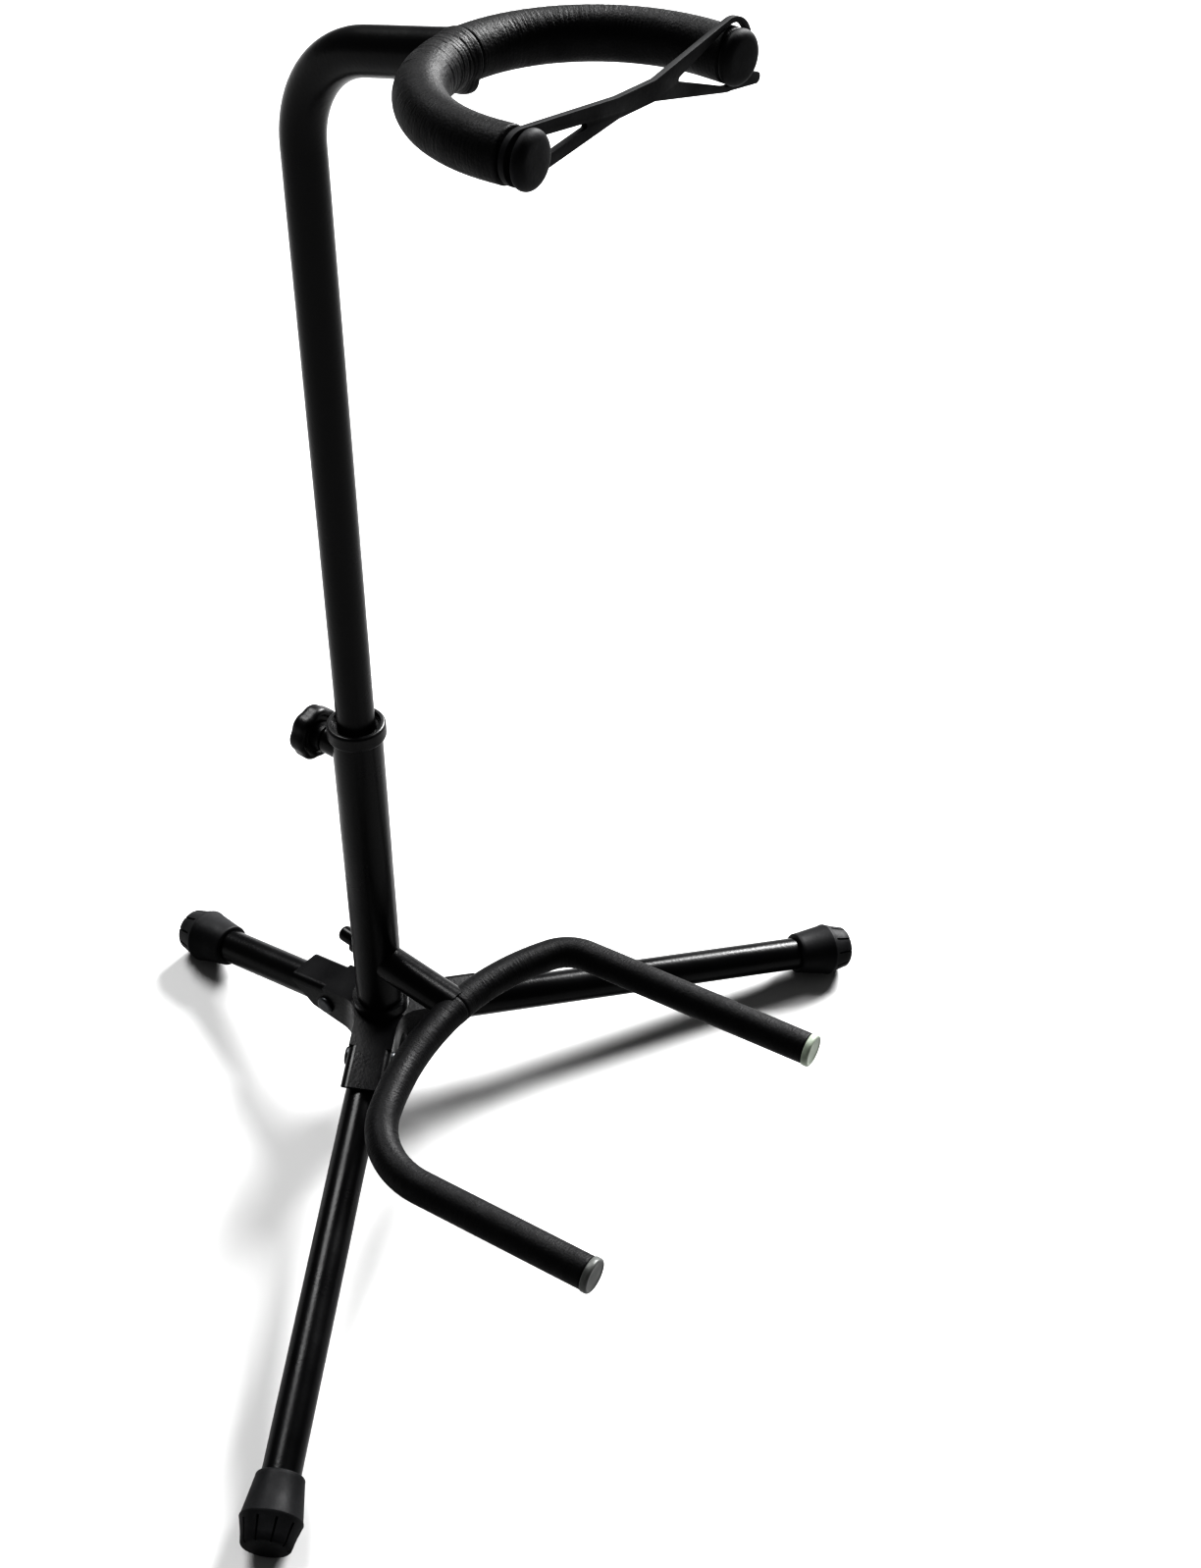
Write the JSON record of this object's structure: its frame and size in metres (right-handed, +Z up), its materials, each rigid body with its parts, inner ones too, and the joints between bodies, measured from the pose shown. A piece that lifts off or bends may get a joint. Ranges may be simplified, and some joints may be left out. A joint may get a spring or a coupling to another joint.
{
  "type": "tripod guitar stand",
  "caption": "Free-standing tripod guitar stand: folding legs, leaning telescopic mast with a padded neck yoke and strap, and a padded body cradle.",
  "frame": {"origin": "on the floor at the middle of the stand's bounding box", "axes": "+Z up, -Y the front where the guitar stands, +X to the right as seen from the front"},
  "size_m": [0.5134, 0.3724, 0.6225],
  "materials": {
    "black_powder_coat": "satin black powder coat",
    "black_foam": "dense closed-cell foam sleeve, matte black",
    "black_rubber": "matte black moulded rubber",
    "black_plastic": "black moulded nylon",
    "grey_cap": "dull grey moulded end cap",
    "zinc_steel": "zinc-plated steel"
  },
  "bodies": {
    "stand_base": {"hub_spider": "black_powder_coat", "lower_mast": "black_powder_coat", "mast_plug": "black_plastic", "hub_washer": "zinc_steel", "hub_bolt": "zinc_steel", "height_collar": "black_plastic", "top_bush": "black_plastic", "clamp_boss": "black_powder_coat", "leg_rivet_left": "zinc_steel", "leg_rivet_right": "zinc_steel", "leg_rivet_rear": "zinc_steel", "cradle_stub": "black_powder_coat", "cradle_bar": "black_powder_coat", "cradle_bolt": "zinc_steel", "saddle_washer": "black_powder_coat", "cap_nut": "black_powder_coat", "cradle_sleeve_left": "black_foam", "cradle_sleeve_right": "black_foam", "cradle_cap_left": "grey_cap", "cradle_cap_right": "grey_cap"},
    "left_leg": {"leg_tube_left": "black_powder_coat", "foot_left": "black_rubber"},
    "right_leg": {"leg_tube_right": "black_powder_coat", "foot_right": "black_rubber"},
    "rear_leg": {"leg_tube_rear": "black_powder_coat", "foot_rear": "black_rubber"},
    "slide_guide": {"guide_bush": "black_plastic"},
    "upper_stand": {"upper_mast": "black_powder_coat", "upper_plug": "black_plastic", "yoke_bar": "black_powder_coat", "yoke_sleeve_left": "black_foam", "yoke_sleeve_right": "black_foam", "yoke_cap_left": "black_rubber", "yoke_cap_right": "black_rubber"},
    "strap": {"neck_strap": "black_rubber"},
    "pressure_pad": {"clamp_pad": "zinc_steel"},
    "clamp_screw": {"clamp_stud": "zinc_steel", "clamp_knob": "black_plastic"}
  },
  "joints": [
    {"name": "left_leg_fold", "type": "hinge", "parent": "stand_base", "child": "left_leg", "pos_m": [-0.02552, 0.01807, 0.04611], "axis": [0.5255, -0.8508, 0], "range_deg": [0, 83]},
    {"name": "right_leg_fold", "type": "hinge", "parent": "stand_base", "child": "right_leg", "pos_m": [0.02552, 0.01807, 0.04611], "axis": [0.5255, 0.8508, 0], "range_deg": [0, 83]},
    {"name": "rear_leg_fold", "type": "hinge", "parent": "stand_base", "child": "rear_leg", "pos_m": [0, 0.06384, 0.04383], "axis": [-1, 0, 0], "range_deg": [0, 74]},
    {"name": "mast_height", "type": "slide", "parent": "stand_base", "child": "slide_guide", "axis": [0, 0.1011, 0.9949], "range_m": [-0.045, 0.05]},
    {"name": "mast_swivel", "type": "hinge", "parent": "slide_guide", "child": "upper_stand", "pos_m": [0, 0.0433, 0.1552], "axis": [0, 0.1011, 0.9949], "continuous": true},
    {"name": "strap_release", "type": "hinge", "parent": "upper_stand", "child": "strap", "pos_m": [-0.06045, -0.07185, 0.60899], "axis": [0, -0.0958, -0.9954], "range_deg": [0, 4.5]},
    {"name": "clamp_travel", "type": "slide", "parent": "stand_base", "child": "pressure_pad", "axis": [0, 0.9949, -0.1011], "range_m": [0, 0.0021]},
    {"name": "clamp_turn", "type": "hinge", "parent": "pressure_pad", "child": "clamp_screw", "pos_m": [0, 0.05114, 0.2324], "axis": [0, 0.9949, -0.1011], "range_deg": [0, 720]}
  ],
  "couplings": [
    {"joint": "clamp_travel", "follows": "clamp_turn", "m_per_rad": 0.00015915}
  ]
}
